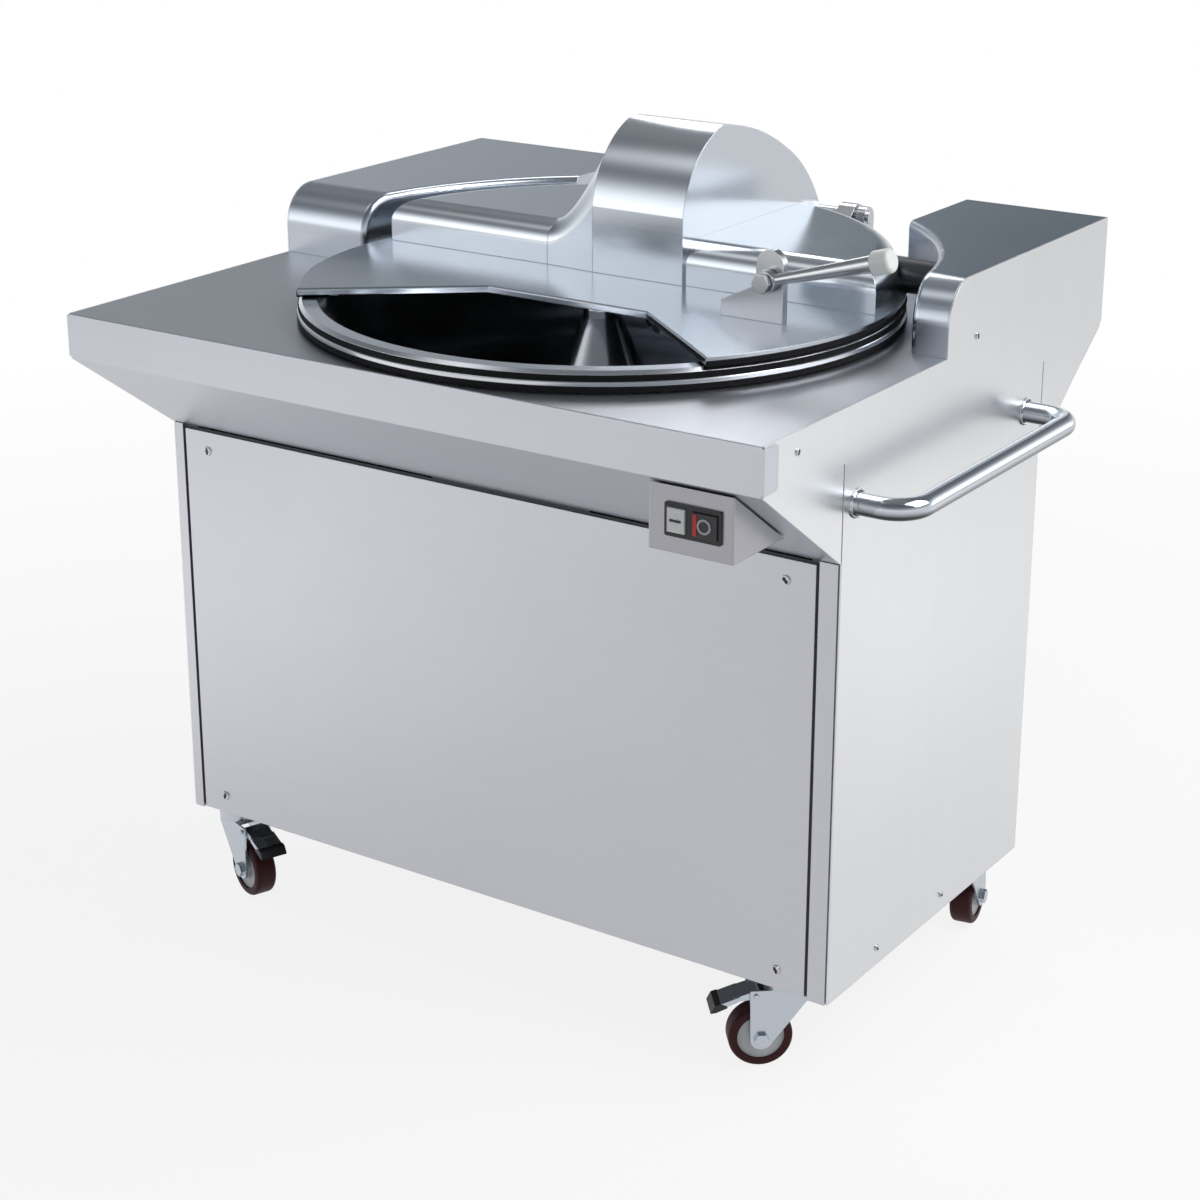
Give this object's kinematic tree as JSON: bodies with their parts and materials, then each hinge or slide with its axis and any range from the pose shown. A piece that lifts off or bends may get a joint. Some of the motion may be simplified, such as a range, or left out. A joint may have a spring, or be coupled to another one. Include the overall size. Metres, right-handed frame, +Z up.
{
  "type": "meat bowl cutter",
  "caption": "Floor-standing bowl cutter: a round bowl turns in a stainless cabinet worktop under a hinged lid whose hood covers belt-driven sickle knives; swivel castors with brakes.",
  "frame": {"origin": "on the floor, on the turning axis of the bowl", "axes": "+Z up along the bowl's axis, +X to the operator's right, +Y away from the operator"},
  "size_m": [1.0161, 0.809, 1.02],
  "materials": {
    "frame_steel": "satin",
    "table_steel": "satin",
    "housing_steel": "satin",
    "side_steel": "satin",
    "front_steel": "satin",
    "rear_steel": "satin",
    "bowl_steel": "polished",
    "lid_steel": "polished",
    "bright_steel": "polished",
    "screw_steel": "polished",
    "blade_steel": "polished",
    "shaft_steel": "ground",
    "drive_iron": "painted",
    "motor_paint": "satin paint",
    "motor_alloy": "cast",
    "belt_rubber": "matt",
    "box_steel": "satin",
    "black_plastic": "matt",
    "start_plastic": "gloss",
    "stop_plastic": "gloss",
    "knob_plastic": "satin",
    "lug_steel": "satin",
    "castor_zinc": "zinc plated",
    "castor_tyre": "satin",
    "castor_core": "satin"
  },
  "bodies": {
    "base": {"base_frame": "frame_steel", "worktop": "table_steel", "right_rear_housing": "housing_steel", "left_rear_housing": "housing_steel", "right_side_panel": "side_steel", "left_side_panel": "side_steel", "front_posts": "front_steel", "front_panel": "front_steel", "rear_panel": "rear_steel", "panel_screws": "screw_steel", "cable_gland": "black_plastic", "switch_box": "box_steel", "switch_bezel": "black_plastic", "push_handle": "bright_steel", "bowl_bearing": "drive_iron", "drive_plates": "frame_steel", "bowl_gearbox": "drive_iron", "bowl_motor": "motor_alloy", "knife_bearing": "frame_steel", "drive_belts": "belt_rubber", "main_motor": "motor_paint", "lid_hinge_posts": "lug_steel"},
    "bowl_rotor": {"bowl": "bowl_steel", "bowl_hub_cap": "bright_steel", "bowl_spindle": "shaft_steel"},
    "knife_rotor": {"knife_shaft": "shaft_steel", "knives": "blade_steel", "knife_clamp": "shaft_steel", "knife_pulley": "drive_iron"},
    "motor_rotor": {"motor_shaft": "shaft_steel", "motor_pulley": "drive_iron"},
    "lid": {"lid_plate": "lid_steel", "lid_deck_left": "lid_steel", "lid_deck_right": "lid_steel", "knife_hood": "lid_steel", "hood_fairing": "lid_steel", "lid_hinge_arms": "lug_steel", "lid_lug": "lug_steel", "lid_rest_block": "knob_plastic"},
    "lever": {"lid_lever": "lug_steel", "lever_knob": "knob_plastic"},
    "start": {"start_button": "start_plastic"},
    "stop": {"stop_button": "stop_plastic"},
    "swivel_front_right": {"castor_fork_front_right": "castor_zinc"},
    "wheel_front_right": {"castor_tyre_front_right": "castor_tyre", "castor_core_front_right": "castor_core"},
    "brake_front_right": {"brake_pedal_front_right": "castor_zinc"},
    "swivel_front_left": {"castor_fork_front_left": "castor_zinc"},
    "wheel_front_left": {"castor_tyre_front_left": "castor_tyre", "castor_core_front_left": "castor_core"},
    "brake_front_left": {"brake_pedal_front_left": "castor_zinc"},
    "swivel_rear_right": {"castor_fork_rear_right": "castor_zinc"},
    "wheel_rear_right": {"castor_tyre_rear_right": "castor_tyre", "castor_core_rear_right": "castor_core"},
    "brake_rear_right": {"brake_pedal_rear_right": "castor_zinc"},
    "swivel_rear_left": {"castor_fork_rear_left": "castor_zinc"},
    "wheel_rear_left": {"castor_tyre_rear_left": "castor_tyre", "castor_core_rear_left": "castor_core"},
    "brake_rear_left": {"brake_pedal_rear_left": "castor_zinc"}
  },
  "joints": [
    {"name": "bowl_spin", "type": "hinge", "parent": "base", "child": "bowl_rotor", "pos_m": [0, 0, 0.7], "axis": [0, 0, 1], "continuous": true},
    {"name": "knife_spin", "type": "hinge", "parent": "base", "child": "knife_rotor", "pos_m": [0.1, 0.18, 0.858], "axis": [1, 0, 0], "continuous": true},
    {"name": "motor_spin", "type": "hinge", "parent": "base", "child": "motor_rotor", "pos_m": [0.373, 0.12, 0.232], "axis": [1, 0, 0], "continuous": true},
    {"name": "lid_hinge", "type": "hinge", "parent": "base", "child": "lid", "pos_m": [0, 0.395, 0.868], "axis": [-1, 0, 0], "range_deg": [0, 95]},
    {"name": "lever_turn", "type": "hinge", "parent": "lid", "child": "lever", "pos_m": [0.258, -0.0645, 0.893], "axis": [0, -1, 0], "range_deg": [0, 75]},
    {"name": "start_press", "type": "slide", "parent": "base", "child": "start", "axis": [0, 1, 0], "range_m": [0, 0.003], "stiffness_N_per_m": 400, "springref_m": -0.002},
    {"name": "stop_press", "type": "slide", "parent": "base", "child": "stop", "axis": [0, 1, 0], "range_m": [0, 0.003], "stiffness_N_per_m": 400, "springref_m": -0.002},
    {"name": "swivel_front_right", "type": "hinge", "parent": "base", "child": "swivel_front_right", "pos_m": [0.347, -0.137, 0.11], "axis": [0, 0, 1], "continuous": true},
    {"name": "roll_front_right", "type": "hinge", "parent": "swivel_front_right", "child": "wheel_front_right", "pos_m": [0.32402, -0.15628, 0.0375], "axis": [-0.6428, 0.766, 0], "continuous": true},
    {"name": "brake_front_right", "type": "hinge", "parent": "swivel_front_right", "child": "brake_front_right", "pos_m": [0.31866, -0.16078, 0.093], "axis": [0.6428, -0.766, 0], "range_deg": [0, 12]},
    {"name": "swivel_front_left", "type": "hinge", "parent": "base", "child": "swivel_front_left", "pos_m": [-0.468, -0.15, 0.11], "axis": [0, 0, 1], "continuous": true},
    {"name": "roll_front_left", "type": "hinge", "parent": "swivel_front_left", "child": "wheel_front_left", "pos_m": [-0.43999, -0.16075, 0.0375], "axis": [-0.3584, -0.9336, 0], "continuous": true},
    {"name": "brake_front_left", "type": "hinge", "parent": "swivel_front_left", "child": "brake_front_left", "pos_m": [-0.43346, -0.16326, 0.093], "axis": [0.3584, 0.9336, 0], "range_deg": [0, 12]},
    {"name": "swivel_rear_right", "type": "hinge", "parent": "base", "child": "swivel_rear_right", "pos_m": [0.373, 0.262, 0.11], "axis": [0, 0, 1], "continuous": true},
    {"name": "roll_rear_right", "type": "hinge", "parent": "swivel_rear_right", "child": "wheel_rear_right", "pos_m": [0.36779, 0.29154, 0.0375], "axis": [0.9848, 0.1736, 0], "continuous": true},
    {"name": "brake_rear_right", "type": "hinge", "parent": "swivel_rear_right", "child": "brake_rear_right", "pos_m": [0.36658, 0.29844, 0.093], "axis": [-0.9848, -0.1736, 0], "range_deg": [0, 12]},
    {"name": "swivel_rear_left", "type": "hinge", "parent": "base", "child": "swivel_rear_left", "pos_m": [-0.45, 0.252, 0.11], "axis": [0, 0, 1], "continuous": true},
    {"name": "roll_rear_left", "type": "hinge", "parent": "swivel_rear_left", "child": "wheel_rear_left", "pos_m": [-0.435, 0.22602, 0.0375], "axis": [-0.866, -0.5, 0], "continuous": true},
    {"name": "brake_rear_left", "type": "hinge", "parent": "swivel_rear_left", "child": "brake_rear_left", "pos_m": [-0.4315, 0.21996, 0.093], "axis": [0.866, 0.5, 0], "range_deg": [0, 12]}
  ],
  "couplings": [
    {"joint": "motor_spin", "follows": "knife_spin", "ratio": 0.68889}
  ]
}
